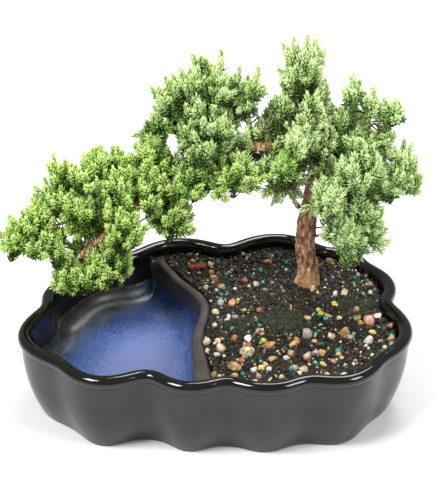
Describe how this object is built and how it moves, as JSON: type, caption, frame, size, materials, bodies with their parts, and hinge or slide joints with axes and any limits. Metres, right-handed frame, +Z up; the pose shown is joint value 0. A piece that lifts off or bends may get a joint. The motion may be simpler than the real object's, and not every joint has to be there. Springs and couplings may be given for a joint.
{
  "type": "bonsai tree in a pot",
  "caption": "Juniper bonsai with a cascading limb, growing in the planted side of a scalloped glazed pot whose other side is an open water basin.",
  "frame": {"origin": "middle of the pot's flat base, on the surface it stands on", "axes": "+X along the pot from the basin side to the planted side, +Y to the back, +Z up"},
  "size_m": [0.2532, 0.1816, 0.2188],
  "materials": {
    "glaze": "gloss",
    "basin_glaze": "gloss",
    "screen_plastic": "satin",
    "soil": "matte",
    "moss": "matte",
    "stone": "satin",
    "fertiliser": "satin",
    "bark_chip": "matte",
    "bark": "matte",
    "foliage": "satin"
  },
  "bodies": {
    "root": {"bark_chip": "bark_chip", "drain_screen": "screen_plastic", "foliage_cascade_front": "foliage", "foliage_cascade_heel": "foliage", "foliage_cascade_left": "foliage", "foliage_cascade_mid": "foliage", "foliage_cascade_tip": "foliage", "foliage_cascade_top": "foliage", "foliage_crown_back": "foliage", "foliage_crown_core": "foliage", "foliage_crown_left": "foliage", "foliage_crown_tip": "foliage", "foliage_hang_left": "foliage", "foliage_hang_right": "foliage", "foliage_inner_left": "foliage", "foliage_limb_top": "foliage", "foliage_limb_under": "foliage", "foliage_link": "foliage", "foliage_mid_back": "foliage", "foliage_mid_crown": "foliage", "foliage_mid_front": "foliage", "foliage_mid_left": "foliage", "foliage_mid_low": "foliage", "foliage_right_back": "foliage", "foliage_right_core": "foliage", "foliage_right_low": "foliage", "foliage_right_skirt": "foliage", "foliage_right_tip": "foliage", "foliage_right_top": "foliage", "foliage_shoulder_right": "foliage", "foliage_trunk_front": "foliage", "moss_front": "moss", "moss_left": "moss", "moss_right": "moss", "pot": "glaze", "soil": "soil", "stone_back_cream": "stone", "stone_back_tan": "stone", "stone_cream_block": "stone", "stone_cream_pebble": "stone", "stone_grey_front": "stone", "stone_grey_pebble": "stone", "stone_left_grey": "stone", "stone_left_tan": "stone", "stone_long_cream": "stone", "stone_orange_pebble": "stone", "stone_peach_pebble": "stone", "stone_pink_block": "stone", "stone_rust_pebble": "stone", "stone_tan_corner": "stone", "stone_tan_upright": "stone", "stone_white_flake": "stone", "stone_white_quartz": "stone", "stone_white_round": "stone", "stone_yellow_flat": "stone", "stone_yellow_front": "stone", "trunk_and_limbs": "bark"}
  },
  "joints": []
}
